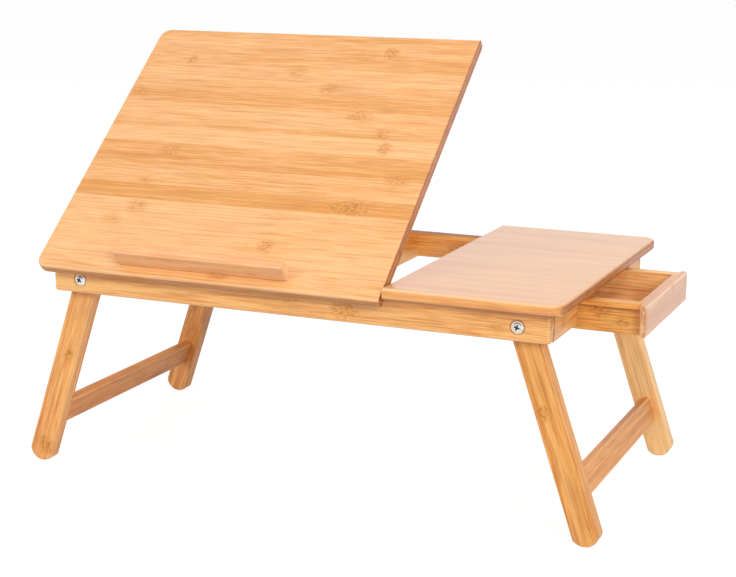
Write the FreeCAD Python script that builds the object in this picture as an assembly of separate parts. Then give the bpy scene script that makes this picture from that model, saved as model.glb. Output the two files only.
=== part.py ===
"""Bamboo lap desk with a tilting top, a fixed side top, a drawer under it and two folding leg frames.

Millimetres, +Z up, X along the front rail, Y from front to back.  Everything is placed about the middle
of the frame on the floor, and is moved at the end so that the origin is the middle of the bounding box's
bottom face.  The desk stands open: legs splayed, tilting top raised on its prop, drawer part way out.
"""
import FreeCAD, Part
import math
import os

V = FreeCAD.Vector
AXIS_X, AXIS_Y, AXIS_Z = V(1, 0, 0), V(0, 1, 0), V(0, 0, 1)

# ---- driving dimensions ----------------------------------------------------------------------------------
# tops
top_length = 500.0          # both tops and the gap between them
top_depth = 312.0
top_height = 208.4          # floor to the upper face of the tops
top_thickness = 10.75
fixed_top_width = 155.6
top_joint_gap = 1.5         # between the two tops
corner_radius = 12.0        # outer corners of the tops, in plan
edge_round = 3.5            # rounded long edges of the tops
lid_gap = 0.3               # tilting top above the rails when it is down

# frame
end_overhang = 12.0
front_overhang = 10.75
rail_thickness = 10.2
rail_height = 25.0
rail_round = 2.0
rail_end_round = 3.0
board_round = 1.0
centre_bar_width = 21.0
centre_bar_height = 9.0
drawer_back_rail_thickness = 12.0
drawer_back_rail_height = 18.0
drawer_back_rail_setback = 1.0      # behind the fixed top's inner edge

# tilting top
tilt_angle = 39.8           # degrees, top notch
hinge_setback = 1.0         # hinge axis behind the front rail's front face
hinge_inset = 61.45         # hinge's middle from the tilting top's ends
hinge_length = 30.0
hinge_leaf_width = 8.5
hinge_leaf_thickness = 1.2
hinge_barrel_radius = 2.5
hinge_pin_radius = 1.25
hinge_middle_knuckle = 12.0
hinge_screw_pitch = 10.0
hinge_screw_inset = 2.8     # from the leaf's back edge
hinge_frame_screw_length = 10.0
knuckle_gap = 0.3
barrel_clearance = 0.3
running_clearance = 0.05

# book ledge on the tilting top
ledge_length = 170.0
ledge_thickness = 10.0
ledge_height = 17.0
ledge_offset = -1.4         # to the left of the tilting top's middle
ledge_setback = 10.2        # behind the tilting top's front edge
ledge_end_round = 3.0
ledge_round = 1.0
ledge_dowel_pitch = 58.0

# prop under the tilting top
prop_reach = 110.0          # hinge axis to prop pivot, along the top
prop_drop = 3.9             # prop pivot below the top's underside
prop_end_gap = 1.75         # folded prop to the bolts of the back legs
prop_arm_width = 12.0
prop_arm_thickness = 6.5
prop_rod_radius = 3.0
prop_pin_radius = 2.0
prop_slat_width = 24.0
prop_slat_thickness = 5.0
prop_slat_setback = 32.0    # foot rod's middle to the slat
prop_tenon_length = 24.0
prop_rod_gap = 0.75         # rod's ends to the end rail and the centre bar's side
prop_side_gap = 1.5         # arm to rack, and arm to pivot block
prop_block_width = 10.0
prop_block_depth = 16.0
prop_block_screw_inset = 3.4
prop_block_clearance = 0.4  # pivot block above the prop's lowest line when folded

# notched racks
rack_thickness = 12.0
rack_front_margin = 16.0    # rack ahead of its first notch
rack_back_margin = 10.0
rack_screw_inset = 10.0
rack_screw_bite = 4.0       # beyond the rack
notch_angles = (tilt_angle, 34.0, 28.0, 22.0, 16.0)
notch_depth = 1.5
rod_clearance = 0.3

# legs
leg_width = 24.0
leg_thickness = 13.5
leg_round = 1.5
foot_flatness = 1.0         # foot's radius beyond half the leg's width
leg_splay = 18.73           # degrees from upright
pivot_inset = 28.2          # from the rail's end
leg_top_gap = 0.8           # leg's round top below the rail's top face
stop_clearance = 0.3        # leg to end rail when open
stretcher_rise = 34.5       # foot's centre to stretcher centre, along the leg
stretcher_height = 24.0
stretcher_thickness = 10.0

# leg bolts
bolt_radius = 3.0
bolt_head_radius = 5.75
bolt_head_height = 3.2
bolt_bore_clearance = 0.1
bolt_seat_depth = 1.2       # shallow counterbore for the head in the rail's face
bolt_seat_clearance = 0.9   # round the head
bolt_recess_radius = 2.7
bolt_recess_slot = 1.3
bolt_recess_depth = 1.7
bolt_recess_turn = 20.0
washer_radius = 6.0
washer_thickness = 1.0
spacer_thickness = 0.8      # washer between rail and leg
nut_radius = 5.77           # across corners, halved
nut_height = 5.0
bolt_tail = 1.0

# drawer
drawer_gap = 0.5            # side, end and fixed top clearances
drawer_opening = 139.0      # between the end blocks
drawer_front_width = 150.0
drawer_front_height = 27.0
drawer_face_thickness = 5.5         # overlapping part of the front
drawer_tongue_thickness = 4.5       # part of the front between the sides
drawer_front_round = 2.5
drawer_top_gap = 2.6        # drawer front below the fixed top
drawer_side_thickness = 9.0
drawer_lip_width = 3.0
drawer_lip_height = 4.5
drawer_back_thickness = 9.0
drawer_bottom_thickness = 3.0
drawer_bottom_rise = 2.5
drawer_groove = 4.0         # bottom into the sides
drawer_front_groove = 2.5   # bottom into the front
drawer_dowel_rise = 5.0     # above the bottom
drawer_closed_gap = 0.3
drawer_pull_out = 55.0      # as it stands, from closed
runner_width = 12.5
runner_height = 18.0
lip_clearance = 0.3
runner_screw_inset = 12.0
stop_strip_thickness = 2.5
stop_peg_radius = 2.5
stop_peg_height = 2.0
stop_peg_inset = 25.0       # from the drawer's back end

# dowels and screws
dowel_radius = 3.0
thin_dowel_radius = 2.0
dowel_in_rail = 6.5
dowel_in_board = 16.0
dowel_pitch = 12.0
top_dowel_inset = 12.0      # from the fixed top's inner edge
top_dowel_offset = 15.0     # from the leg bolt
screw_radius = 1.4
screw_head_radius = 2.9
screw_head_height = 1.8
small_screw_radius = 0.9
small_screw_head_radius = 1.9
small_screw_head_height = 1.0
screw_cover = 2.0           # wood left over a screw's point

# ---- derived places --------------------------------------------------------------------------------------
rail_length = top_length - 2 * end_overhang
frame_depth = top_depth - 2 * front_overhang
rail_top = top_height - top_thickness
rail_bottom = rail_top - rail_height
rail_end = rail_length / 2
rail_face = frame_depth / 2                     # outer faces of the rails
rail_inside = rail_face - rail_thickness
rail_middle = rail_face - rail_thickness / 2
top_end = top_length / 2
top_side = top_depth / 2
fixed_top_edge = top_end - fixed_top_width      # the fixed top's inner edge
lid_edge = fixed_top_edge - top_joint_gap       # the tilting top's inner edge
lid_width = lid_edge + top_end
lid_middle = (lid_edge - top_end) / 2
lid_underside = rail_top + lid_gap
lid_thickness = top_height - lid_underside

pivot_x = rail_end - pivot_inset
pivot_z = rail_top - leg_top_gap - leg_width / 2
foot_radius = leg_width / 2 + foot_flatness
splay = math.radians(leg_splay)
foot_reach = (pivot_z - foot_radius) / math.cos(splay)
stretcher_reach = foot_reach - stretcher_rise   # pivot to stretcher centre, along the leg
leg_outside = pivot_x + (pivot_z - rail_bottom) * math.tan(splay) + leg_width / 2 / math.cos(splay)
end_inside = leg_outside + stop_clearance       # inner faces of the end rail and end blocks
end_thickness = rail_end - end_inside
end_middle = (rail_end + end_inside) / 2
leg_face = rail_inside - spacer_thickness       # leg face next to the rail
leg_inside = leg_face - leg_thickness

hinge_y = -rail_face + hinge_setback
hinge_z = rail_top + lid_gap / 2
tilt = math.radians(tilt_angle)

prop_pivot_y = hinge_y + prop_reach
prop_pivot_z = lid_underside - prop_drop
bolt_end = leg_inside - washer_thickness - nut_height - bolt_tail
prop_foot_y = bolt_end - prop_end_gap - prop_arm_thickness / 2
prop_length = prop_foot_y - prop_pivot_y


def raised(y, z, angle):
    """A point of the lowered tilting top, as (y, z) with the top raised by an angle in radians."""
    dy, dz = y - hinge_y, z - hinge_z
    return (hinge_y + dy * math.cos(angle) - dz * math.sin(angle),
            hinge_z + dy * math.sin(angle) + dz * math.cos(angle))


def prop_slope(angle):
    """Angle of the prop below level when its foot is at the racks and the top is at an angle."""
    return math.asin((raised(prop_pivot_y, prop_pivot_z, angle)[1] - prop_pivot_z) / prop_length)


def foot_place(angle):
    """Y of the foot rod when the top is held at an angle."""
    return raised(prop_pivot_y, prop_pivot_z, angle)[0] + prop_length * math.cos(prop_slope(angle))


prop_swing = tilt + prop_slope(tilt)            # prop away from the top, radians
rack_top = prop_pivot_z - prop_rod_radius - rod_clearance
rack_front = foot_place(tilt) - rack_front_margin
rack_back = foot_place(math.radians(notch_angles[-1])) + rack_back_margin
centre_bar_side = centre_bar_width / 2
rack_left_x = -end_inside
rack_right_x = -centre_bar_side - rack_thickness
arm_left_x = rack_left_x + rack_thickness + prop_side_gap
arm_right_x = rack_right_x - prop_side_gap - prop_arm_width

drawer_top = rail_top - drawer_top_gap
drawer_bottom = drawer_top - drawer_front_height
drawer_side_out = drawer_opening / 2 - drawer_gap           # the lip's outer face
drawer_side_face = drawer_side_out - drawer_lip_width
drawer_side_in = drawer_side_face - drawer_side_thickness
drawer_closed_x = rail_end + drawer_closed_gap              # back of the front board when closed
drawer_x = drawer_closed_x + drawer_pull_out                # as it stands
drawer_inner_x = drawer_x - drawer_tongue_thickness
drawer_back_rail_x = fixed_top_edge + drawer_back_rail_setback
drawer_length = drawer_closed_x - (drawer_back_rail_x + drawer_back_rail_thickness) - drawer_gap
drawer_rear_x = drawer_x - drawer_length
lip_underside = drawer_top - drawer_lip_height
runner_bottom = rail_top - runner_height
stop_peg_x = drawer_rear_x + stop_peg_inset

nodes = {}


# ---- shared makers ---------------------------------------------------------------------------------------
def box(x0, x1, y0, y1, z0, z1):
    """A box between two corners."""
    return Part.makeBox(x1 - x0, y1 - y0, z1 - z0, V(x0, y0, z0))


def rod(radius, start, direction, length):
    """A round bar from a point."""
    return Part.makeCylinder(radius, length, start, direction)


def rounded(shape, radius, picks):
    """Fillets the edges that a test picks by their middle point and direction."""
    edges = []
    for edge in shape.Edges:
        half = (edge.FirstParameter + edge.LastParameter) / 2
        if picks(edge.valueAt(half), edge.tangentAt(half)):
            edges.append(edge)
    return shape.makeFillet(radius, edges)


def along(axis):
    """Picks the edges that run along an axis."""
    return lambda middle, direction: abs(direction.dot(axis)) > 0.999


def board(x0, x1, y0, y1, z0, z1, grain, radius=board_round):
    """A board whose four long edges are eased."""
    return rounded(box(x0, x1, y0, y1, z0, z1), radius, along(grain))


def screw(tip, direction, length, small=False):
    """A countersunk wood screw, head flush at the start of its direction."""
    radius = small_screw_radius if small else screw_radius
    head_radius = small_screw_head_radius if small else screw_head_radius
    head_height = small_screw_head_height if small else screw_head_height
    head_end = tip - direction * length
    head = Part.makeCone(head_radius, radius, head_height, head_end, direction)
    shank = rod(radius, head_end, direction, length - radius)
    point = Part.makeCone(radius, radius / 6, radius, tip - direction * radius, direction)
    return head.fuse([shank, point])


def group(shapes):
    """Several solids in one node."""
    return Part.makeCompound(shapes)


# ---- leg bolts, washers and nuts -------------------------------------------------------------------------
def corners():
    """The four leg pivots as (side, end): side is -1 left or 1 right, end is -1 front or 1 back."""
    return [(side, end) for side in (-1, 1) for end in (-1, 1)]


def leg_bolt(side, end):
    """Pan head bolt from the rail's outer face inwards, with a cross recess in its head."""
    inward = V(0, -end, 0)
    seat = V(side * pivot_x, end * (rail_face - bolt_seat_depth), pivot_z)
    length = rail_face - bolt_seat_depth - bolt_end
    dome_radius = (bolt_head_radius ** 2 + bolt_head_height ** 2) / (2 * bolt_head_height)
    ball = Part.makeSphere(dome_radius, seat - inward * (bolt_head_height - dome_radius))
    head = rod(bolt_head_radius, seat - inward * bolt_head_height, inward, bolt_head_height).common(ball)
    for angle in (0, 90):
        slot = Part.makeBox(2 * bolt_recess_radius, bolt_recess_depth * 2, bolt_recess_slot)
        slot.translate(V(-bolt_recess_radius, -bolt_recess_depth, -bolt_recess_slot / 2))
        slot.rotate(V(), AXIS_Y, angle + bolt_recess_turn)
        slot.translate(seat - inward * bolt_head_height)
        head = head.cut(slot)
    return head.fuse(rod(bolt_radius, seat, inward, length))


def washer(side, end, seat, thickness):
    """A plain washer whose outer face is at a distance from the middle of the desk."""
    start = V(side * pivot_x, end * seat, pivot_z)
    ring = rod(washer_radius, start, V(0, -end, 0), thickness)
    return ring.cut(rod(bolt_radius + bolt_bore_clearance, start, V(0, -end, 0), thickness))


def leg_nut(side, end):
    """A hexagon nut on the leg's inner side."""
    middle = V(side * pivot_x, end * (leg_inside - washer_thickness), pivot_z)
    points = []
    for k in range(7):
        turn = math.radians(60 * k)
        points.append(middle + V(math.cos(turn), 0, math.sin(turn)) * nut_radius)
    body = Part.Face(Part.makePolygon(points)).extrude(V(0, -end * nut_height, 0))
    return body.cut(rod(bolt_radius, middle, V(0, -end, 0), nut_height))


def bolt_bore(side, end, clearance):
    """The bore for a leg bolt, long enough for rail and leg."""
    start = V(side * pivot_x, end * (rail_face + 1), pivot_z)
    return rod(bolt_radius + clearance, start, V(0, -end, 0), rail_thickness + leg_thickness + 5)


def bolt_seat(side, end):
    """The counterbore that a bolt's head sits in."""
    start = V(side * pivot_x, end * (rail_face + 1), pivot_z)
    return rod(bolt_head_radius + bolt_seat_clearance, start, V(0, -end, 0), 1 + bolt_seat_depth)


nodes["leg_bolts"] = group([leg_bolt(*c) for c in corners()])
nodes["leg_spacer_washers"] = group([washer(*c, rail_inside, spacer_thickness) for c in corners()])
nodes["leg_nut_washers"] = group([washer(*c, leg_inside, washer_thickness) for c in corners()])
nodes["leg_nuts"] = group([leg_nut(*c) for c in corners()])


# ---- leg frames ------------------------------------------------------------------------------------------
def leg(side, end):
    """A flat leg: round about its bolt, straight, and rounded at the foot."""
    half = leg_width / 2
    foot_side = foot_reach + math.sqrt(foot_radius ** 2 - half ** 2)
    y = end * leg_face
    top_left, top, top_right = V(-half, y, 0), V(0, y, half), V(half, y, 0)
    low_right, low_left = V(half, y, -foot_side), V(-half, y, -foot_side)
    low = V(0, y, -foot_reach - foot_radius)
    outline = Part.Wire([Part.Arc(top_left, top, top_right).toShape(), Part.makeLine(top_right, low_right),
                         Part.Arc(low_right, low, low_left).toShape(), Part.makeLine(low_left, top_left)])
    body = Part.Face(outline).extrude(V(0, -end * leg_thickness, 0))
    body = rounded(body, leg_round, lambda middle, direction: abs(direction.y) < 0.001)
    return splayed(body, side).cut(bolt_bore(side, end, bolt_bore_clearance))


def splayed(shape, side):
    """Turns what is drawn hanging from the pivot to the open leg's place."""
    shape.rotate(V(), AXIS_Y, -side * leg_splay)
    shape.translate(V(side * pivot_x, 0, pivot_z))
    return shape


def stretcher_pegs(side, end):
    """Two dowels that join the stretcher to a leg."""
    pegs = []
    for step in (-0.5, 0.5):
        start = V(0, end * (leg_inside + dowel_in_rail), -stretcher_reach + step * dowel_pitch)
        peg = rod(dowel_radius, start, V(0, -end, 0), dowel_in_rail + dowel_in_board)
        pegs.append(splayed(peg, side))
    return pegs


for side, name in ((-1, "left"), (1, "right")):
    front_pegs, back_pegs = stretcher_pegs(side, -1), stretcher_pegs(side, 1)
    half, low = stretcher_thickness / 2, -stretcher_reach - stretcher_height / 2
    bar = board(-half, half, -leg_inside, leg_inside, low, low + stretcher_height, AXIS_Y, rail_round)
    nodes["leg_front_" + name] = leg(side, -1).cut(front_pegs)
    nodes["leg_back_" + name] = leg(side, 1).cut(back_pegs)
    nodes["stretcher_" + name] = splayed(bar, side).cut(front_pegs + back_pegs)
    nodes["stretcher_dowels_" + name] = group(front_pegs + back_pegs)


# ---- dowels of the frame ---------------------------------------------------------------------------------
def end_dowels(side, end):
    """Two dowels from a rail into the end of an end rail or end block."""
    pegs = []
    for step in (-0.5, 0.5):
        z = (rail_top + rail_bottom) / 2 + step * dowel_pitch
        start = V(side * end_middle, end * (rail_inside + dowel_in_rail), z)
        pegs.append(rod(dowel_radius, start, V(0, -end, 0), dowel_in_rail + dowel_in_board))
    return pegs


def centre_dowels(end):
    """Two dowels from a rail into the end of the centre bar."""
    pegs = []
    for step in (-0.5, 0.5):
        z = rail_bottom + centre_bar_height / 2
        start = V(step * dowel_pitch, end * (rail_inside + dowel_in_rail), z)
        pegs.append(rod(thin_dowel_radius, start, V(0, -end, 0), dowel_in_rail + dowel_in_board))
    return pegs


def top_dowels(end):
    """Two upright dowels that join the fixed top to a rail."""
    pegs = []
    for x in (fixed_top_edge + top_dowel_inset, pivot_x - top_dowel_offset):
        start = V(x, end * rail_middle, rail_top - dowel_in_rail)
        pegs.append(rod(dowel_radius, start, AXIS_Z, dowel_in_rail + top_thickness / 2))
    return pegs


left_pegs = {end: end_dowels(-1, end) for end in (-1, 1)}
right_pegs = {end: end_dowels(1, end) for end in (-1, 1)}
middle_pegs = {end: centre_dowels(end) for end in (-1, 1)}
upright_pegs = {end: top_dowels(end) for end in (-1, 1)}
nodes["left_end_dowels"] = group(left_pegs[-1] + left_pegs[1])
nodes["right_end_dowels"] = group(right_pegs[-1] + right_pegs[1])
nodes["centre_bar_dowels"] = group(middle_pegs[-1] + middle_pegs[1])
nodes["fixed_top_dowels"] = group(upright_pegs[-1] + upright_pegs[1])


# ---- hinges of the tilting top ---------------------------------------------------------------------------
def hinge_middles():
    return [hinge_inset - top_end, lid_edge - hinge_inset]


def barrel_room(x):
    """The space that a hinge barrel turns in, cut from the rail and from the top."""
    length = hinge_length + 2 * barrel_clearance
    return rod(hinge_barrel_radius + barrel_clearance, V(x - length / 2, hinge_y, hinge_z), AXIS_X, length)


def leaf_plate(x, z, grow=0.0):
    """The flat plate of a hinge leaf, with its lower face at z."""
    return box(x - hinge_length / 2 - grow, x + hinge_length / 2 + grow,
               hinge_y, hinge_y + hinge_leaf_width + grow, z, z + hinge_leaf_thickness)


def knuckles(x, spans, radius):
    """Cylinders about the hinge axis over spans of X measured from the hinge's middle."""
    return [rod(radius, V(x + a, hinge_y, hinge_z), AXIS_X, b - a) for a, b in spans]


def leaf_screws(x, direction, seat, length):
    """Three countersunk screws through a leaf, heads flush with the face at z = seat."""
    y = hinge_y + hinge_leaf_width - hinge_screw_inset
    tips = [V(x + step * hinge_screw_pitch, y, seat) + direction * length for step in (-1, 0, 1)]
    return [screw(tip, direction, length, small=True) for tip in tips]


middle = hinge_middle_knuckle / 2
outer_spans = [(-hinge_length / 2, -middle - knuckle_gap), (middle + knuckle_gap, hinge_length / 2)]
middle_span = [(-middle, middle)]
outer_room = [(a - knuckle_gap, b + knuckle_gap) for a, b in outer_spans]
middle_room = [(-middle - knuckle_gap, middle + knuckle_gap)]
lid_screw_length = lid_thickness - screw_cover
hinge_frame_screws, hinge_lid_screws, hinge_lid_leaves, hinge_pins = [], [], {}, []
for x, name in zip(hinge_middles(), ("left", "right")):
    own = leaf_screws(x, V(0, 0, -1), rail_top, hinge_frame_screw_length)
    leaf = leaf_plate(x, rail_top - hinge_leaf_thickness)
    leaf = leaf.cut(knuckles(x, middle_room, hinge_barrel_radius + barrel_clearance))
    leaf = leaf.fuse(knuckles(x, outer_spans, hinge_barrel_radius))
    leaf = leaf.cut(knuckles(x, [(-hinge_length, hinge_length)], hinge_pin_radius))
    nodes["hinge_%s_frame_leaf" % name] = leaf.cut(own)
    hinge_frame_screws += own

    own = leaf_screws(x, AXIS_Z, lid_underside, lid_screw_length)
    leaf = leaf_plate(x, lid_underside)
    leaf = leaf.cut(knuckles(x, outer_room, hinge_barrel_radius + barrel_clearance))
    leaf = leaf.fuse(knuckles(x, middle_span, hinge_barrel_radius))
    leaf = leaf.cut(knuckles(x, [(-hinge_length, hinge_length)], hinge_pin_radius + running_clearance))
    hinge_lid_leaves["hinge_%s_top_leaf" % name] = leaf.cut(own)
    hinge_lid_screws += own
    hinge_pins += knuckles(x, [(-hinge_length / 2, hinge_length / 2)], hinge_pin_radius)
nodes["hinge_pins"] = group(hinge_pins)
nodes["hinge_frame_screws"] = group(hinge_frame_screws)


# ---- rails and end pieces --------------------------------------------------------------------------------
def rail(end):
    """A long rail with eased edges, bored for the leg bolts and its dowels."""
    faces = sorted((end * rail_inside, end * rail_face))
    body = board(-rail_end, rail_end, faces[0], faces[1], rail_bottom, rail_top, AXIS_X, rail_round)
    outer = end * rail_face
    body = rounded(body, rail_end_round,
                   lambda middle, direction: abs(direction.z) > 0.999 and abs(middle.y - outer) < 0.01)
    bores = [bolt_bore(side, end, bolt_bore_clearance) for side in (-1, 1)]
    bores += [bolt_seat(side, end) for side in (-1, 1)]
    return body.cut(bores + left_pegs[end] + right_pegs[end] + middle_pegs[end] + upright_pegs[end])


front_rail = rail(-1)
front_rail = front_rail.cut([barrel_room(x) for x in hinge_middles()])
front_rail = front_rail.cut([leaf_plate(x, rail_top - hinge_leaf_thickness) for x in hinge_middles()])
nodes["front_rail"] = front_rail.cut(hinge_frame_screws)
nodes["back_rail"] = rail(1)

rack_screw_length = rack_thickness + rack_screw_bite
rack_screw_y = (rack_front + rack_screw_inset, rack_back - rack_screw_inset)
rack_screw_z = rail_bottom + centre_bar_height / 2
left_rack_screws = [screw(V(rack_left_x + rack_thickness - rack_screw_length, y, rack_screw_z), V(-1, 0, 0),
                          rack_screw_length) for y in rack_screw_y]
right_rack_screws = [screw(V(rack_right_x + rack_screw_length, y, rack_screw_z), AXIS_X,
                           rack_screw_length) for y in rack_screw_y]
nodes["rack_screws"] = group(left_rack_screws + right_rack_screws)

end_rail = board(-rail_end, -end_inside, -rail_inside, rail_inside, rail_bottom, rail_top, AXIS_Y)
nodes["left_end_rail"] = end_rail.cut(left_pegs[-1] + left_pegs[1] + left_rack_screws)
centre_bar = board(-centre_bar_side, centre_bar_side, -rail_inside, rail_inside,
                   rail_bottom, rail_bottom + centre_bar_height, AXIS_Y)
nodes["centre_bar"] = centre_bar.cut(middle_pegs[-1] + middle_pegs[1] + right_rack_screws)
opening_side = drawer_opening / 2
for end, name in ((-1, "front"), (1, "back")):
    reach = sorted((end * opening_side, end * rail_inside))
    block = board(end_inside, rail_end, reach[0], reach[1], rail_bottom, rail_top, AXIS_Y)
    nodes["end_block_" + name] = block.cut(right_pegs[end])


# ---- notched racks ---------------------------------------------------------------------------------------
def rack(x):
    """A strip whose top edge has shallow seats for the prop's foot rod, one for each angle of the top."""
    strip = box(x, x + rack_thickness, rack_front, rack_back, rail_bottom, rack_top)
    seat_radius = prop_rod_radius + rod_clearance
    seats = []
    for angle in notch_angles:
        centre = V(x, foot_place(math.radians(angle)), rack_top + seat_radius - notch_depth)
        seats.append(rod(seat_radius, centre, AXIS_X, rack_thickness))
    return strip.cut(seats)


nodes["notch_rack_left"] = rack(rack_left_x).cut(left_rack_screws)
nodes["notch_rack_right"] = rack(rack_right_x).cut(right_rack_screws)


# ---- tops ------------------------------------------------------------------------------------------------
def top_board(outer, inner, z0, z1):
    """A top with round outer corners and rounded edges, and a square inner edge for the joint of the tops."""
    body = box(min(outer, inner), max(outer, inner), -top_side, top_side, z0, z1)
    body = rounded(body, corner_radius,
                   lambda middle, direction: abs(direction.z) > 0.999 and abs(middle.x - outer) < 0.01)
    on_faces = lambda middle, direction: (abs(direction.z) < 0.001 and abs(middle.x - inner) > 0.01
                                          and min(abs(middle.z - z0), abs(middle.z - z1)) < 0.01)
    return rounded(body, edge_round, on_faces)


runner_screws = {}
runner_screw_length = runner_height + top_thickness - screw_cover
for end in (-1, 1):
    y = end * (opening_side + runner_width / 2)
    first = drawer_back_rail_x + drawer_back_rail_thickness + runner_screw_inset
    last = end_inside - runner_screw_inset
    runner_screws[end] = [screw(V(x, y, runner_bottom + runner_screw_length), AXIS_Z, runner_screw_length)
                          for x in (first, (first + last) / 2, last)]
nodes["runner_screws"] = group(runner_screws[-1] + runner_screws[1])

fixed_top = top_board(top_end, fixed_top_edge, rail_top, top_height)
nodes["fixed_top"] = fixed_top.cut(upright_pegs[-1] + upright_pegs[1] + runner_screws[-1] + runner_screws[1])


# ---- drawer runners, back rail and stop strip ------------------------------------------------------------
for end, name in ((-1, "front"), (1, "back")):
    inner, outer = end * opening_side, end * (opening_side + runner_width)
    runner_start = drawer_back_rail_x + drawer_back_rail_thickness
    body = box(runner_start, end_inside, min(inner, outer), max(inner, outer), runner_bottom, rail_top)
    step = sorted((end * (drawer_side_face + drawer_gap), inner))
    shelf = box(runner_start, end_inside, step[0], step[1], runner_bottom, lip_underside - lip_clearance)
    nodes["drawer_runner_" + name] = body.fuse(shelf).removeSplitter().cut(runner_screws[end])
nodes["drawer_back_rail"] = board(drawer_back_rail_x, drawer_back_rail_x + drawer_back_rail_thickness,
                                  -opening_side - runner_width, opening_side + runner_width,
                                  rail_top - drawer_back_rail_height, rail_top, AXIS_Y)
nodes["drawer_stop_strip"] = box(end_inside, rail_end, -opening_side, opening_side,
                                 rail_top - stop_strip_thickness, rail_top)


# ---- drawer ----------------------------------------------------------------------------------------------
bottom_z = drawer_bottom + drawer_bottom_rise
front_half = drawer_front_width / 2
front_dowels = {}
back_dowels = {}
for end in (-1, 1):
    y = end * (drawer_side_in + drawer_side_thickness / 2)
    heights = (bottom_z + drawer_bottom_thickness + drawer_dowel_rise, lip_underside)
    front_dowels[end] = [rod(thin_dowel_radius, V(drawer_x + drawer_face_thickness / 2, y, z), V(-1, 0, 0),
                             dowel_in_board) for z in heights]
    back_x = drawer_rear_x + drawer_back_thickness / 2
    back_dowels[end] = [rod(thin_dowel_radius, V(back_x, end * drawer_side_face, z), V(0, -end, 0),
                            dowel_in_board) for z in heights]
drawer_pegs = [rod(stop_peg_radius, V(stop_peg_x, end * (drawer_side_in + drawer_side_thickness / 2),
                                      drawer_top - dowel_in_rail), AXIS_Z, dowel_in_rail + stop_peg_height)
               for end in (-1, 1)]

outer_x = drawer_x + drawer_face_thickness
front_board = box(drawer_inner_x, outer_x, -front_half, front_half, drawer_bottom, drawer_top)
front_board = rounded(front_board, drawer_front_round,
                      lambda middle, direction: abs(middle.x - outer_x) < 0.01)
rebates = [box(drawer_inner_x, drawer_x, min(end * drawer_side_in, end * front_half),
               max(end * drawer_side_in, end * front_half), drawer_bottom, drawer_top) for end in (-1, 1)]
bottom_board = box(drawer_rear_x, drawer_inner_x + drawer_front_groove, -drawer_side_in - drawer_groove,
                   drawer_side_in + drawer_groove, bottom_z, bottom_z + drawer_bottom_thickness)
nodes["drawer_front"] = front_board.cut(rebates + [bottom_board] + front_dowels[-1] + front_dowels[1])
for end, name in ((-1, "front"), (1, "back")):
    inner, face, lip = end * drawer_side_in, end * drawer_side_face, end * drawer_side_out
    side_board = box(drawer_rear_x, drawer_x, min(inner, face), max(inner, face), drawer_bottom, drawer_top)
    lip_strip = box(drawer_rear_x, drawer_x, min(inner, lip), max(inner, lip), lip_underside, drawer_top)
    side_board = side_board.fuse(lip_strip).removeSplitter()
    side_board = side_board.cut([bottom_board] + front_dowels[end] + back_dowels[end] + drawer_pegs)
    nodes["drawer_side_" + name] = side_board
back_board = box(drawer_rear_x, drawer_rear_x + drawer_back_thickness, -drawer_side_in, drawer_side_in,
                 bottom_z + drawer_bottom_thickness, drawer_top)
nodes["drawer_back"] = back_board.cut(back_dowels[-1] + back_dowels[1])
nodes["drawer_bottom"] = bottom_board
nodes["drawer_dowels"] = group(front_dowels[-1] + front_dowels[1] + back_dowels[-1] + back_dowels[1])
nodes["drawer_stop_pegs"] = group(drawer_pegs)


# ---- tilting top, its ledge and the prop's blocks: drawn lowered, then raised ----------------------------
lid = {}
ledge_y = -top_side + ledge_setback
ledge_middle = lid_middle + ledge_offset
ledge_pegs = [rod(dowel_radius, V(ledge_middle + step * ledge_dowel_pitch, ledge_y + ledge_thickness / 2,
                                  top_height - lid_thickness / 2), AXIS_Z, lid_thickness / 2 + dowel_in_rail)
              for step in (-1, 0, 1)]
ledge = box(ledge_middle - ledge_length / 2, ledge_middle + ledge_length / 2,
            ledge_y, ledge_y + ledge_thickness, top_height, top_height + ledge_height)
ledge = rounded(ledge, ledge_end_round, along(AXIS_Z))
ledge_top = top_height + ledge_height
ledge = rounded(ledge, ledge_round, lambda middle, direction: abs(middle.z - ledge_top) < 0.01)
lid["book_ledge"] = ledge.cut(ledge_pegs)
lid["ledge_dowels"] = group(ledge_pegs)

block_screws, prop_pins = [], []
block_half = prop_block_depth / 2
block_bottom = prop_pivot_z - prop_arm_thickness / 2 + prop_block_clearance
block_places = {"left": arm_left_x - prop_side_gap - prop_block_width,
                "right": arm_right_x + prop_arm_width + prop_side_gap}
pin_length = prop_block_width + prop_side_gap + prop_arm_width
for name, x in block_places.items():
    block = board(x, x + prop_block_width, prop_pivot_y - block_half, prop_pivot_y + block_half,
                  block_bottom, lid_underside, AXIS_X)
    pin_start = x if name == "left" else x + prop_block_width - pin_length
    pin = rod(prop_pin_radius, V(pin_start, prop_pivot_y, prop_pivot_z), AXIS_X, pin_length)
    block_screw_length = top_height - block_bottom - screw_cover
    own = [screw(V(x + prop_block_width / 2, prop_pivot_y + step * (block_half - prop_block_screw_inset),
                   top_height - screw_cover), AXIS_Z, block_screw_length) for step in (-1, 1)]
    lid["prop_block_" + name] = block.cut([pin] + own)
    prop_pins.append(pin)
    block_screws += own
lid["prop_pins"] = group(prop_pins)
lid["prop_block_screws"] = group(block_screws)
lid["hinge_top_screws"] = group(hinge_lid_screws)
lid.update(hinge_lid_leaves)

tilt_top = top_board(-top_end, lid_edge, lid_underside, top_height)
tilt_top = tilt_top.cut([barrel_room(x) for x in hinge_middles()])
tilt_top = tilt_top.cut([leaf_plate(x, lid_underside) for x in hinge_middles()])
lid["tilt_top"] = tilt_top.cut(hinge_lid_screws + block_screws + ledge_pegs)

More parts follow.
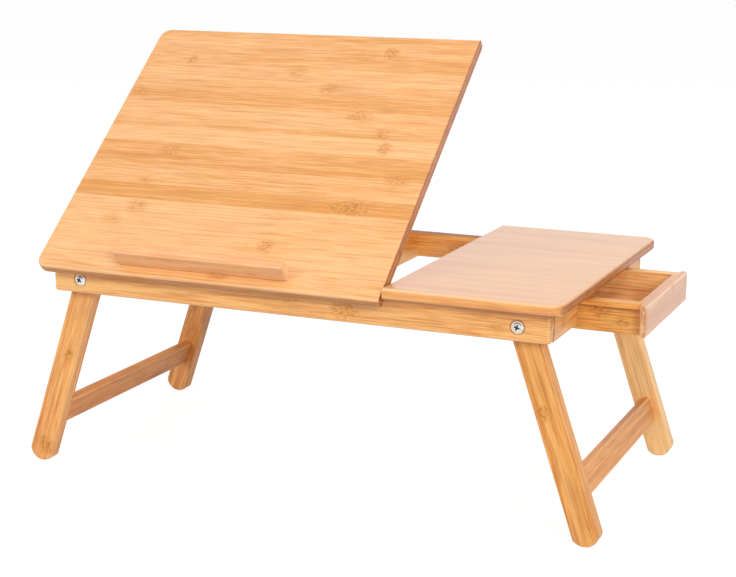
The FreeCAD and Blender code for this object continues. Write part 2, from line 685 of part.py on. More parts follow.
# ---- prop: drawn folded against the lowered top, swung out, then raised with it --------------------------
prop = {}
rod_left, rod_right = rack_left_x + prop_rod_gap, -centre_bar_side - prop_rod_gap
foot_rod = rod(prop_rod_radius, V(rod_left, prop_foot_y, prop_pivot_z), AXIS_X, rod_right - rod_left)
half = prop_arm_thickness / 2
slat_y = prop_foot_y - prop_slat_setback - prop_slat_width
slat = board(arm_left_x + prop_arm_width, arm_right_x, slat_y, slat_y + prop_slat_width,
             prop_pivot_z - prop_slat_thickness / 2, prop_pivot_z + prop_slat_thickness / 2, AXIS_X)
tenons = [rod(thin_dowel_radius, V(x, slat_y + prop_slat_width / 2, prop_pivot_z), AXIS_X, prop_tenon_length)
          for x in (arm_left_x, arm_right_x + prop_arm_width - prop_tenon_length)]
for name, x in (("left", arm_left_x), ("right", arm_right_x)):
    arm = box(x, x + prop_arm_width, prop_pivot_y, prop_foot_y, prop_pivot_z - half, prop_pivot_z + half)
    for y in (prop_pivot_y, prop_foot_y):
        arm = arm.fuse(rod(half, V(x, y, prop_pivot_z), AXIS_X, prop_arm_width))
    bore = rod(prop_pin_radius + running_clearance, V(x, prop_pivot_y, prop_pivot_z), AXIS_X, prop_arm_width)
    prop["prop_arm_" + name] = arm.removeSplitter().cut([bore, foot_rod] + tenons)
prop["prop_cross_slat"] = slat.cut(tenons)
prop["prop_slat_dowels"] = group(tenons)
prop["prop_foot_rod"] = foot_rod
for shape in prop.values():
    shape.rotate(V(0, prop_pivot_y, prop_pivot_z), AXIS_X, -math.degrees(prop_swing))
lid.update(prop)
for shape in lid.values():
    shape.rotate(V(0, hinge_y, hinge_z), AXIS_X, tilt_angle)
nodes.update(lid)

# ---- origin at the middle of the bounding box's bottom face, then one file for each node -----------------
whole = Part.makeCompound(list(nodes.values())).optimalBoundingBox(False, False)
origin = V((whole.XMin + whole.XMax) / 2, (whole.YMin + whole.YMax) / 2, whole.ZMin)
os.makedirs("parts", exist_ok=True)
for name, shape in nodes.items():
    shape.translate(origin * -1)
    shape.exportStep(os.path.join("parts", name + ".step"))
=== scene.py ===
"""A bamboo lap desk: tilting top on a notched prop, fixed side top over a drawer, two folding leg frames.

It follows the desk as a workshop puts it together.  Metres, +Z up, X along the front rail, Y from front to
back; the origin is the middle of the desk's footprint, on the floor.
"""
import math

import bmesh
import bpy
import numpy as np
from mathutils import Euler, Matrix, Vector


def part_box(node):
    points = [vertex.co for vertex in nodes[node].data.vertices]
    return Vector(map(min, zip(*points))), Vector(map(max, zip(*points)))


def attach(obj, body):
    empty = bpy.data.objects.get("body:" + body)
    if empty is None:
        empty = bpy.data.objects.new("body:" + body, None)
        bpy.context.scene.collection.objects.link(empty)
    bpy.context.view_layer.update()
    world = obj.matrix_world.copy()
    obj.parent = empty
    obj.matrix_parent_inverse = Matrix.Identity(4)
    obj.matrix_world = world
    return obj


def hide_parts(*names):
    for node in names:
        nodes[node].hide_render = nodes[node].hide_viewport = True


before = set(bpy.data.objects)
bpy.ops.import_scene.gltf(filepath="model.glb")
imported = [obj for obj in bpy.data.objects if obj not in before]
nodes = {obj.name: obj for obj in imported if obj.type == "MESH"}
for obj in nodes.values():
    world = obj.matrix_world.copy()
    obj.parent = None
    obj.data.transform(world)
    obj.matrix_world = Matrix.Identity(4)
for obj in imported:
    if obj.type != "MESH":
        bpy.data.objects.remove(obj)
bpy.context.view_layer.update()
scene = bpy.context.scene

# ---- where the desk is seen from -------------------------------------------------------------------------
# A long lens, a little above the tops and to the right of the front, so that the drawer's open end shows
# beside the front rail.
eye = Vector((0.592675, -1.336358, 0.506710))
aim = Vector((0.010095, -0.008449, 0.17072))
lean = 0.0032472            # radians about the line of sight
picture_width = 736         # pixels
focal_length = 1593.381     # pixels
camera = bpy.data.objects.new("camera", bpy.data.cameras.new("camera"))
camera.data.sensor_width = 36.0
camera.data.lens = camera.data.sensor_width * focal_length / picture_width
camera.rotation_mode = "QUATERNION"
camera.location = eye
turn = (aim - eye).to_track_quat("-Z", "Y")
camera.rotation_quaternion = turn @ Euler((0, 0, lean)).to_quaternion()
scene.collection.objects.link(camera)
scene.camera = camera

# ---- floor and studio ------------------------------------------------------------------------------------
# A white sweep under a soft white tent.  The main softbox stands on the right in front, and weaker ones on
# the left, overhead and behind open the shadows.  Gloss shows the tent and the floor, not the softboxes.
scene.view_settings.view_transform = "Standard"
TENT_LIGHT = 0.50       # the tent's light on the desk; the eye sees it plain white
FLOOR_BOUNCE = 0.62     # floor's colour for light that bounces up to the desk
FLOOR_SHADE = 0.26      # how far the desk's shadow darkens the floor that is seen
FLOOR_GLOW = 0.855      # the rest of the floor's white, which no shadow darkens
FLOOR_REACH = 60.0      # metres each way, so that its edge is out of sight


def open_tree(owner):
    """The empty node tree of a material or the world."""
    owner.use_nodes = True
    owner.node_tree.nodes.clear()
    return owner.node_tree


def seen_directly(tree):
    """1 where the eye, a reflection or glass looks at a surface, and 0 where light only bounces off it."""
    path = tree.nodes.new("ShaderNodeLightPath")
    total = path.outputs["Is Camera Ray"]
    for ray in ("Is Glossy Ray", "Is Transmission Ray"):
        either = tree.nodes.new("ShaderNodeMath")
        either.operation = "MAXIMUM"
        tree.links.new(total, either.inputs[0])
        tree.links.new(path.outputs[ray], either.inputs[1])
        total = either.outputs[0]
    return total


def two_ways(tree, bounced, seen, output):
    """Shows one shader to bounced light and the other to the eye."""
    mix = tree.nodes.new("ShaderNodeMixShader")
    tree.links.new(seen_directly(tree), mix.inputs[0])
    tree.links.new(bounced, mix.inputs[1])
    tree.links.new(seen, mix.inputs[2])
    tree.links.new(mix.outputs[0], tree.nodes.new(output).inputs["Surface"])


tent = bpy.data.worlds.new("tent")
scene.world = tent
tree = open_tree(tent)
lit, white = (tree.nodes.new("ShaderNodeBackground") for _ in range(2))
lit.inputs["Strength"].default_value = TENT_LIGHT
for background in (lit, white):
    background.inputs["Color"].default_value = (1, 1, 1, 1)
two_ways(tree, lit.outputs[0], white.outputs[0], "ShaderNodeOutputWorld")

sweep = bpy.data.materials.new("white sweep")
tree = open_tree(sweep)
dull, shaded = (tree.nodes.new("ShaderNodeBsdfDiffuse") for _ in range(2))
dull.inputs["Color"].default_value = (FLOOR_BOUNCE, FLOOR_BOUNCE, FLOOR_BOUNCE, 1)
shaded.inputs["Color"].default_value = (FLOOR_SHADE, FLOOR_SHADE, FLOOR_SHADE, 1)
glow = tree.nodes.new("ShaderNodeEmission")
glow.inputs["Strength"].default_value = FLOOR_GLOW
both = tree.nodes.new("ShaderNodeAddShader")
tree.links.new(shaded.outputs[0], both.inputs[0])
tree.links.new(glow.outputs[0], both.inputs[1])
two_ways(tree, dull.outputs[0], both.outputs[0], "ShaderNodeOutputMaterial")
corners = [(x * FLOOR_REACH, y * FLOOR_REACH, 0) for x, y in ((-1, -1), (1, -1), (1, 1), (-1, 1))]
floor_mesh = bpy.data.meshes.new("floor")
floor_mesh.from_pydata(corners, [], [(0, 1, 2, 3)])
floor_mesh.materials.append(sweep)
floor = bpy.data.objects.new("floor", floor_mesh)
scene.collection.objects.link(floor)

desk_heart = Vector((0, 0, 0.15))
for name, place, size, power in (("softbox right", (2.2, -2.0, 1.4), 1.1, 36.0),
                                 ("softbox left", (-1.6, -2.0, 1.4), 1.4, 24.0),
                                 ("softbox above", (0.8, -0.9, 2.2), 1.0, 11.0),
                                 ("softbox behind", (-0.5, 2.2, 1.6), 1.2, 12.0)):
    lamp = bpy.data.lights.new(name, "AREA")
    lamp.shape, lamp.size, lamp.energy = "DISK", size, power
    stand = bpy.data.objects.new(name, lamp)
    stand.visible_glossy = False
    stand.location = place
    stand.rotation_euler = (desk_heart - Vector(place)).to_track_quat("-Z", "Y").to_euler()
    scene.collection.objects.link(stand)

# ---- front and back rails --------------------------------------------------------------------------------
# The two long rails of the frame, each pressed from bamboo strips, planed, eased and lacquered.  They carry
# the tops, the legs' bolts and the hinges.


class Tone:
    """A value or colour in a finish.  Sums written with it add the nodes that work them out."""

    def __init__(self, tree, socket=None):
        self.tree, self.socket = tree, socket

    def node(self, kind, sockets=(), output=0, stops=(), **settings):
        """Adds a node, sets it up and fills its sockets with values or links.  stops are a ramp's steps."""
        made = self.tree.nodes.new("ShaderNode" + kind)
        for key, value in settings.items():
            setattr(made, key, value)
        if stops:
            made.color_ramp.interpolation = "CONSTANT"
        for spot, (place, value) in enumerate(stops):
            ramp = made.color_ramp.elements
            stop = ramp[spot] if spot < len(ramp) else ramp.new(place)
            stop.position, stop.color = place, (value, value, value, 1)
        for key, value in dict(sockets).items():
            if isinstance(value, Tone):
                self.tree.links.new(value.socket, made.inputs[key])
            else:
                made.inputs[key].default_value = value
        return Tone(self.tree, made.outputs[output] if made.outputs else None)

    def sum(self, operation, first, second=0.0):
        return self.node("Math", {0: first, 1: second}, operation=operation)

    def __add__(self, other):
        return self.sum("ADD", self, other)

    def __sub__(self, other):
        return self.sum("SUBTRACT", self, other)

    def __rsub__(self, other):
        return self.sum("SUBTRACT", other, self)

    def __mul__(self, other):
        return self.sum("MULTIPLY", self, other)

    def __truediv__(self, other):
        return self.sum("DIVIDE", self, other)

    def __rtruediv__(self, other):
        return self.sum("DIVIDE", other, self)

    __radd__, __rmul__ = __add__, __mul__

    def __abs__(self):
        return self.sum("ABSOLUTE", self)

    def __floor__(self):
        return self.sum("FLOOR", self)

    def at_most(self, other):
        return self.sum("MINIMUM", self, other)

    def at_least(self, other):
        return self.sum("MAXIMUM", self, other)

    def between(self, low, high):
        """0 below one value, 1 above another, smooth between."""
        return self.node("MapRange", {"Value": self, "From Min": low, "From Max": high},
                         interpolation_type="SMOOTHSTEP")

    def moved(self, *offset):
        """A place moved along each axis."""
        return self.node("VectorMath", {0: self, 1: offset}, operation="ADD")

    def stretched(self, *scale):
        """A place scaled along each axis."""
        return self.node("VectorMath", {0: self, 1: scale}, operation="MULTIPLY")

    def noise(self, scale, detail=2.0, rough=0.5):
        """Cloudy noise, about 0 to 1."""
        return self.node("TexNoise", {"Vector": self, "Scale": scale, "Detail": detail, "Roughness": rough})

    def over(self, under, colour):
        """A colour laid over another, by this amount."""
        return self.node("Mix", {0: self, 6: under, 7: colour}, output=2, data_type="RGBA")


NO_RINGS = 9.0


def paint(red, green, blue):
    """A colour from its 0 to 255 screen values."""
    return tuple(((c / 255 + 0.055) / 1.055) ** 2.4 for c in (red, green, blue)) + (1.0,)


def bamboo(name, middle, grain=(1, 0, 0), face=(0, 0, 1), strip=(0.0195, 0.0054), seed=0,
           light=(248, 187, 112), dark=(222, 140, 64), ends=(228, 156, 86), strips=(), knuckles=(),
           rings=0.28, coat=0.4, gloss=0.5, variety=0.6, contrast=1.0, fine=2.2, side_grain=0.0,
           blotches=0.15, easing=0.4, edge_coat=0.2, low_edge=0.0, glue=0.0, end_marks=1.0):
    """Lacquered bamboo board about its middle.

    grain is the way that the fibres run, and face the way that the wide face looks.  strip is the width and
    thickness of its strips.  strips lists (width, tone) instead, from the face's front or lower edge, and a
    tone over 1 paints a dark line of shade, such as the shadow in a crease or under an overhang.  knuckles
    lists (along, across, length, width, depth) from the middle; rings is how far apart others lie, and
    NO_RINGS leaves them out.  light, dark and ends are the colours of the fibres and of the sawn ends.

    variety is how much the strips differ, contrast how cloudy each is, fine how strong its fibres are, and
    side_grain what the board's narrow sides add to that.  blotches is how dark the stains are.  coat is the
    lacquer on the faces, edge_coat the share of it that the edges keep, and gloss the shine below it.
    easing is how strongly a pale highlight is painted on the eased edges, and low_edge how dark the shade
    painted on those that look down is.  glue is how dark the joints between plies are on the sawn ends, and
    end_marks how strong the fibres' dots are there.
    """
    finish = bpy.data.materials.new(name)
    start = Tone(open_tree(finish))
    grain, face = Vector(grain).normalized(), Vector(face).normalized()
    turn = Matrix((grain, face.cross(grain), face)).transposed().to_euler()
    place = start.node("Mapping", {"Vector": start.node("TexCoord", output="Object"), "Location": middle,
                                   "Rotation": turn}, vector_type="TEXTURE")
    along, across, deep = (start.node("SeparateXYZ", {0: place}, output=axis) for axis in range(3))
    looks = start.node("TexCoord", output="Normal")
    end_on, face_on = (abs(start.node("VectorMath", {0: looks, 1: way}, output="Value",
                                      operation="DOT_PRODUCT")) for way in (grain, face))
    end_grain = end_on.between(0.72, 0.96)
    not_an_end = 1 - end_on.between(0.4, 0.7)
    looks_down = (0.0 - start.node("SeparateXYZ", {0: looks}, output=2)).between(0.10, 0.70)

    # each strip has its own tone and its own run of fibres
    middle_row = 40.5       # sets a strip and a ply in the middle, and keeps their numbers above 0
    strip_width, ply = strip
    layer = math.floor(deep / ply + middle_row)
    if strips:
        widths, tones = zip(*strips)
        spots = [sum(widths[:n]) / sum(widths) for n in range(len(widths))]
        shares = [n / len(widths) for n in range(len(widths))]
        reach_in = across / sum(widths) + 0.5
        row, board_tone = (start.node("ValToRGB", {0: reach_in}, stops=list(zip(spots, values)))
                           for values in (shares, tones))
        row = row * 40.0        # apart enough for luck of its own
    else:
        row = math.floor(across / strip_width + middle_row)
    keys = (start.node("CombineXYZ", {0: row, 1: layer, 2: key}) for key in (seed + 0.5, seed + 9.5))
    luck, luck2 = (start.node("TexWhiteNoise", {"Vector": key}) for key in keys)
    if not strips:
        board_tone = luck * variety
    own = start.node("CombineXYZ", {0: luck * 3.0, 1: luck2, 2: seed * 0.37})
    run = start.node("VectorMath", {0: place, 1: own}, operation="ADD")

    # the fibres, from broad clouds to single hairs, drawn out along the grain
    clouds = run.stretched(0.12, 1, 1).noise(50.0)
    broad = run.stretched(0.030, 1, 1).noise(210.0)
    streaks = run.stretched(0.025, 1, 1).noise(560.0, detail=3.0, rough=0.65)
    fibres = run.stretched(0.030, 1, 1).noise(1100.0, rough=0.6)
    hairs = run.stretched(0.012, 1, 1).noise(900.0)
    cloudy = (clouds - 0.5) * 1.2 + (broad - 0.5) * 1.3
    fibrous = streaks * 0.5 + fibres - 0.75
    usual_tone = 0.12
    tone = board_tone + cloudy * contrast + fibrous * ((1 - face_on) * side_grain + fine) + usual_tone
    colour = tone.at_least(0.0).at_most(1.0).over(paint(*light), paint(*dark))
    colour = (hairs.between(0.57, 0.68) * 0.16 * fine).over(colour, paint(198, 118, 54))
    colour = ((1 - broad.between(0.32, 0.47)) * 0.30 * contrast).over(colour, paint(255, 208, 140))
    if strips:
        # a strip's tone over 1 paints a dark line of shade over the fibres
        colour = (board_tone - 1.0).over(colour, paint(104, 56, 22))
    stains = run.stretched(0.40, 1, 1).noise(48.0, detail=2.5, rough=0.55)
    colour = (stains.between(0.44, 0.70) * blotches).over(colour, paint(152, 90, 48))

    # painted light on the eased edges: a pale painted highlight along them,
    # and painted shade on the ones that look down
    eased = face_on.between(0.25, 0.65) * (1 - face_on.between(0.90, 0.995)) * not_an_end
    colour = (eased * easing).over(colour, paint(246, 208, 168))
    lower = looks_down * (1 - face_on.between(0.93, 0.995)) * not_an_end
    colour = (lower * low_edge).over(colour, paint(150, 84, 40))

    # knuckles: the cane's rings, as soft yellow-brown patches of short dashes
    dashes = run.stretched(0.40, 1, 1).noise(640.0, rough=0.7)
    ring = along / rings + luck2 * 7.3
    ring = abs(ring - math.floor(ring) - 0.5) * rings
    ring_depth = 0.55 if rings < NO_RINGS else 0.0
    mark = (1 - ring.between(0.001, 0.010)) * ring_depth * luck.between(0.15, 0.4)
    ragged = place.noise(160.0) * 0.9 - 0.45
    for x, y, length, width, depth in knuckles:
        patch = place.moved(-x, -y, 0).stretched(2 / length, 2 / width, 0)
        far = start.node("VectorMath", {0: patch}, output="Value", operation="LENGTH") + ragged
        mark = mark.at_least((1 - far.between(0.30, 1.25)) * depth)
    mark = mark * (1 - end_grain)
    colour = (mark * 0.65).over(colour, paint(226, 152, 62))
    colour = (mark * dashes.between(0.46, 0.58) * 0.80).over(colour, paint(172, 98, 26))

    # sawn ends show the fibres as dots and short lines, and the joints between the plies
    dots = place.noise(1500.0, detail=1.0).between(0.45, 0.7) * 0.35
    lines = place.stretched(1, 0.22, 1).noise(480.0).between(0.40, 0.62) * 0.50
    end_colour = ((dots + lines + luck2 * 0.35 - 0.1) * end_marks).over(paint(*ends), paint(146, 78, 34))
    if glue:
        joint = deep / ply + 0.5
        joint = abs(joint - math.floor(joint + 0.5))
        end_colour = ((1 - joint.between(0.05, 0.14)) * glue).over(end_colour, paint(104, 56, 26))
    colour = (end_grain * 0.85).over(colour, end_colour)

    # satin lacquer over fibres that can just be felt
    relief = streaks * 0.6 + fibres * 0.4 - mark * 0.3
    bump = start.node("Bump", {"Height": relief, "Strength": 0.16, "Distance": 0.0006})
    coated = (face_on.between(0.55, 0.97) * (1 - edge_coat) + edge_coat) * (1 - looks_down) * coat
    shader = start.node("BsdfPrincipled", {
        "Base Color": colour, "Roughness": streaks * 0.14 + 0.36, "IOR": 1.5, "Normal": bump,
        "Specular IOR Level": gloss, "Coat Weight": coated, "Coat Roughness": 0.22})
    start.node("OutputMaterial", {"Surface": shader})
    return finish


def dress(name, finish):
    """Gives a node's faces a finish."""
    for slot in nodes[name].material_slots:
        slot.material = finish


def middle_of(name):
    """The middle of a node's box."""
    low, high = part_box(name)
    return (low + high) / 2


# from the bottom, two strips and a dark line of painted shade along the top, under the tops' overhang
rail_strips = [(0.0115, 0.02), (0.0122, 0.12), (0.0013, 1.75)]
rail_knuckles = [(0.056, -0.002, 0.030, 0.018, 0.8), (0.002, 0.004, 0.030, 0.014, 0.5),
                 (0.192, -0.002, 0.018, 0.014, 0.4)]
for seed, name, light, dark in ((1, "front_rail", (250, 190, 114), (224, 144, 66)),
                                (2, "back_rail", (254, 190, 104), (238, 148, 64))):
    dress(name, bamboo(name, middle_of(name), face=(0, -1, 0), strip=(0.0125, 0.0051), seed=seed,
                       light=light, dark=dark, ends=(250, 196, 130), strips=rail_strips,
                       knuckles=rail_knuckles, rings=NO_RINGS, contrast=0.8, fine=3.8))

# ---- left end rail, right end blocks and centre bar ------------------------------------------------------
# Short cross pieces between the rails, dowelled in: a full one at the left end, two stubs at the right that
# leave the drawer's mouth open, and a flat bar that carries the racks and the drawer's back rail.
for seed, name in enumerate(("left_end_rail", "end_block_front", "end_block_back", "centre_bar"), 11):
    flat = name == "centre_bar"
    dress(name, bamboo(name, middle_of(name), grain=(0, 1, 0), face=(0, 0, 1) if flat else (1, 0, 0),
                       strip=(0.0125, 0.0055), seed=seed, coat=0.2))

# ---- notched racks ---------------------------------------------------------------------------------------
# Two bamboo strips with five notches each for the prop's foot, screwed to the left end rail and to the
# centre bar.
for seed, name in enumerate(("notch_rack_left", "notch_rack_right"), 21):
    dress(name, bamboo(name, middle_of(name), grain=(0, 1, 0), face=(1, 0, 0), strip=(0.009, 0.006),
                       seed=seed))

# ---- drawer runners, back rail and stop strip ------------------------------------------------------------
# Stepped bamboo runners, screwed under the fixed top, whose shelves carry the drawer's lips, the bar at
# their inner ends, and the thin strip over the drawer's mouth that its pegs stop at.
for seed, name in enumerate(("drawer_runner_front", "drawer_runner_back"), 31):
    dress(name, bamboo(name, middle_of(name), strip=(0.0062, 0.009), seed=seed))
for seed, name in enumerate(("drawer_back_rail", "drawer_stop_strip"), 34):
    dress(name, bamboo(name, middle_of(name), grain=(0, 1, 0), strip=(0.006, 0.009), seed=seed))

# ---- fixed side top --------------------------------------------------------------------------------------
# A panel of wide strips edge to edge in plies, with round outer corners and rolled edges.  It lies level,
# and its lacquer takes the tent's sheen.
side_top_knuckles = [(-0.012, -0.132, 0.018, 0.012, 0.5), (0.028, 0.116, 0.040, 0.016, 0.4)]
dress("fixed_top", bamboo("fixed_top", middle_of("fixed_top"), seed=41, light=(238, 171, 101),
                          dark=(219, 141, 74), ends=(196, 118, 58), knuckles=side_top_knuckles,
                          rings=NO_RINGS, coat=1.0, variety=0.4, contrast=0.75, fine=1.0, side_grain=3.0,
                          blotches=0.05, easing=0.6, low_edge=0.8, glue=0.7))

# ---- tilting top -----------------------------------------------------------------------------------------
# The big panel, of strips of many widths in plies, with the cane's knuckles scattered over it.  It leans
# back on its prop.  The lists are in millimetres.
TILT = math.radians(39.8)
lid_face = (0, -math.sin(TILT), math.cos(TILT))
# width and tone, from the rolled front edge to the back edge; the first, dark strip is painted
# shade on the roll, which looks down
lid_strips = [(3.5, 0.60), (13.5, 0.0), (18, 0.04), (18, 0.10), (15, 0.06), (19, 0.05), (19, 0.80),
              (24, 0.28), (14, 0.62), (14, 0.44), (19, 0.04), (7, 0.50), (26, 0.22), (20, 0.56), (13, 0.36),
              (20, 0.20), (17, 0.50), (20, 0.30), (12, 0.52)]
# to the right of the middle and to the back of it, length, width and depth
lid_knuckles = [(16.5, -146, 24, 12, 0.6), (48.5, -110, 20, 16, 0.8), (-116.5, -94, 26, 16, 0.5),
                (-96.5, -78, 24, 16, 0.6), (112.5, -59, 46, 18, 1.0), (-101.5, -46, 16, 14, 0.4),
                (146.5, -24, 28, 20, 0.6), (-92.5, -7, 24, 16, 0.6), (121.5, 12, 16, 18, 0.7),
                (113.5, 28, 16, 16, 0.6), (84.5, 50, 32, 16, 0.6), (-157.5, 67, 26, 14, 0.5),
                (41.5, 82, 20, 16, 0.6), (0.5, 103, 24, 18, 0.45), (-118.5, 115, 12, 18, 0.6),
                (88.5, 133, 18, 16, 0.9), (64.5, 128, 34, 16, 0.3)]
dress("tilt_top", bamboo(
    "tilt_top", middle_of("tilt_top"), face=lid_face, seed=51, light=(247, 188, 126), dark=(220, 145, 58),
    ends=(210, 130, 70), strips=[(width / 1000, tone) for width, tone in lid_strips],
    knuckles=[(x / 1000, y / 1000, length / 1000, width / 1000, depth)
              for x, y, length, width, depth in lid_knuckles],
    rings=NO_RINGS, coat=0.7, contrast=0.5, fine=2.3, side_grain=2.0, blotches=0.1, low_edge=0.5, glue=0.8))

# ---- book ledge ------------------------------------------------------------------------------------------
# A short bamboo strip that keeps a book from sliding down, dowelled on near the tilting top's front edge.
# Its corners and its upper edges are rounded.
ledge_front = (0, -math.cos(TILT), -math.sin(TILT))
# from its foot: a dark line of painted shade in the crease against the top, then two strips
ledge_strips = [(0.0010, 1.45), (0.0080, 0.10), (0.0080, 0.35)]
# its pale sawn ends are a painted highlight on its rounded ends
dress("book_ledge", bamboo("book_ledge", middle_of("book_ledge"), face=ledge_front, seed=61,
                           light=(252, 194, 140), dark=(234, 164, 110), ends=(255, 214, 158),
                           strips=ledge_strips, knuckles=[(0.052, -0.003, 0.012, 0.008, 0.3)],
                           rings=NO_RINGS, coat=0.1, gloss=0.3, easing=0.2, end_marks=0.25))

# ---- prop ------------------------------------------------------------------------------------------------
# Two arms hung on pins under the tilting top, a slat between them, and a round rod for a foot that drops
# into the notches.
ARM_RISE, ARM_REACH = 0.0056, 0.0032        # what the arm's own thickness adds to its box
arm_low, arm_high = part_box("prop_arm_left")
fall = math.atan2(arm_high.z - arm_low.z - ARM_RISE, arm_high.y - arm_low.y - ARM_REACH)
arm_way = (0, math.cos(fall), -math.sin(fall))
arm_up = (0, math.sin(fall), math.cos(fall))
for seed, name in enumerate(("prop_arm_left", "prop_arm_right"), 71):
    dress(name, bamboo(name, middle_of(name), grain=arm_way, face=arm_up, strip=(0.006, 0.004), seed=seed))
for seed, name in enumerate(("prop_block_left", "prop_block_right"), 74):
    dress(name, bamboo(name, middle_of(name), face=lid_face, strip=(0.008, 0.005), seed=seed))
for seed, name in enumerate(("prop_cross_slat", "prop_foot_rod"), 77):
    dress(name, bamboo(name, middle_of(name), face=arm_up, strip=(0.012, 0.005), seed=seed))

# ---- legs and stretchers ---------------------------------------------------------------------------------
# Two leg frames, each of two flat legs with round ends and a stretcher dowelled between them, splayed about
# the bolts in the rails.
SPLAY = math.radians(18.73)
# the light and the dark of a leg's fibres, how blotchy it is, and its knuckles
legs = {
    "leg_front_left": ((248, 181, 106), (219, 134, 62), 0.2,
                       [(-0.086, -0.004, 0.020, 0.018, 1.0), (0.012, -0.003, 0.014, 0.012, 0.8)]),
    "leg_front_right": ((240, 172, 92), (208, 124, 48), 0.2, [(0.016, 0.005, 0.015, 0.015, 1.0)]),
    "leg_back_left": ((242, 176, 100), (206, 124, 56), 0.6, [(-0.030, 0.0, 0.022, 0.024, 0.6)]),
    # the back right leg's pale colours paint light on it where the desk shades it
    "leg_back_right": ((255, 216, 154), (255, 198, 128), 0.2, [(-0.060, 0.004, 0.022, 0.024, 0.3)]),
}
for seed, (name, (light, dark, blotches, knuckles)) in enumerate(legs.items(), 81):
    side = -1 if name.endswith("left") else 1
    dress(name, bamboo(name, middle_of(name), grain=(-side * math.sin(SPLAY), 0, math.cos(SPLAY)),
                       face=(0, -1, 0), strip=(0.0122, 0.0068), seed=seed, light=light, dark=dark,
                       knuckles=knuckles, rings=NO_RINGS, coat=0.2, gloss=0.4, contrast=0.7, fine=3.8,
                       blotches=blotches, easing=0.25))
for seed, side, name, blotches in ((91, -1, "stretcher_left", 0.7), (92, 1, "stretcher_right", 0.1)):
    knuckles = [(0.02, 0, 0.026, 0.02, blotches), (-0.055, 0.004, 0.03, 0.016, blotches / 2)]
    dress(name, bamboo(name, middle_of(name), grain=(0, 1, 0),
                       face=(math.cos(SPLAY), 0, side * math.sin(SPLAY)), strip=(0.012, 0.005), seed=seed,
                       light=(246, 176, 100), dark=(216, 136, 68), knuckles=knuckles, rings=NO_RINGS,
                       coat=0.05, gloss=0.3, contrast=0.9, fine=2.4, blotches=blotches))

# ---- drawer ----------------------------------------------------------------------------------------------
# A shallow box: a rounded front that stands past the sides, lipped sides that hang in the runners, a back
# and a thin bottom in grooves.
side_knuckles = [(0.028, 0.004, 0.022, 0.012, 1.0), (0.048, -0.004, 0.016, 0.010, 0.8)]
# from the bottom, with a dark line of painted shadow under the lip
side_strips = [(0.0100, 0.35), (0.0110, 0.20), (0.0015, 1.50), (0.0045, 0.30)]
for seed, name, light, dark, strips, knuckles in (
        (101, "drawer_side_front", (252, 190, 100), (224, 142, 56), side_strips, side_knuckles),
        # the back side's pale colours paint light on its inner face, which lies in shade inside the drawer
        (102, "drawer_side_back", (255, 218, 152), (250, 176, 104), (), ())):
    dress(name, bamboo(name, middle_of(name), face=(0, -1, 0), strip=(0.0135, 0.006), seed=seed,
                       light=light, dark=dark, strips=strips, knuckles=knuckles, rings=NO_RINGS,
                       coat=0.2, fine=6.0))
for seed, name in enumerate(("drawer_front", "drawer_back"), 104):
    dress(name, bamboo(name, middle_of(name), grain=(0, 1, 0), face=(1, 0, 0), strip=(0.0135, 0.005),
                       seed=seed, light=(233, 159, 98), dark=(209, 129, 72), ends=(250, 196, 138),
                       coat=0.7, contrast=0.8, fine=1.6, easing=0.9, edge_coat=1.0))
# its pale colours paint light on the bottom, which lies in shade inside the drawer
dress("drawer_bottom", bamboo("drawer_bottom", middle_of("drawer_bottom"), strip=(0.018, 0.003), seed=107,
                              light=(255, 214, 150), dark=(242, 176, 106), coat=0.2))

# ---- dowels ----------------------------------------------------------------------------------------------
# Pegs of split bamboo, turned round and glued into the joints.  The drawer's stop pegs are like them, and
# stand up from its sides near the back.
peg_ways = {"left_end_dowels": (0, 1, 0), "right_end_dowels": (0, 1, 0), "centre_bar_dowels": (0, 1, 0),
            "fixed_top_dowels": (0, 0, 1), "stretcher_dowels_left": (0, 1, 0),
            "stretcher_dowels_right": (0, 1, 0), "prop_slat_dowels": (1, 0, 0), "ledge_dowels": lid_face,
            "drawer_dowels": (1, 0, 0), "drawer_stop_pegs": (0, 0, 1)}
for seed, (name, way) in enumerate(peg_ways.items(), 121):
    beside = (1, 0, 0) if way[0] == 0 else (0, 0, 1)
    dress(name, bamboo(name, middle_of(name), grain=way, face=beside, strip=(0.004, 0.004), seed=seed,
                       light=(246, 190, 130), dark=(226, 158, 98)))

# ---- bolts, nuts and washers -----------------------------------------------------------------------------
# Bright zinc pan head bolts with a cross recess, one at each leg.  They sit in counterbores in the rails
# and turn in the legs, with a washer before the leg, and a washer and a chamfered nut behind it.
TURNED_SIDES = 40
THREAD_PITCH = 0.8          # millimetres, as are all sizes of a turned part before it is scaled
CRISP_EDGE = math.radians(32)
QUARTER_TURN = math.pi / 2


def metal(name, colour, roughness):
    """Metal with fine scratches and cloudy handling marks, which also dull it."""
    finish = bpy.data.materials.new(name)
    start = Tone(open_tree(finish))
    place = start.node("TexCoord", output="Object")
    clouds, scratches = place.noise(500.0, 3.0), place.stretched(1.0, 0.2, 1.0).noise(4000.0)
    handled = (int(value * 0.86) for value in colour)
    tone = clouds.between(0.35, 0.7).over(paint(*colour), paint(*handled))
    bump = start.node("Bump", {"Height": scratches, "Strength": 0.08, "Distance": 0.0002})
    shader = start.node("BsdfPrincipled", {"Base Color": tone, "Metallic": 1.0, "Normal": bump,
                                           "Roughness": clouds * 0.12 + roughness})
    start.node("OutputMaterial", {"Surface": shader})
    return finish


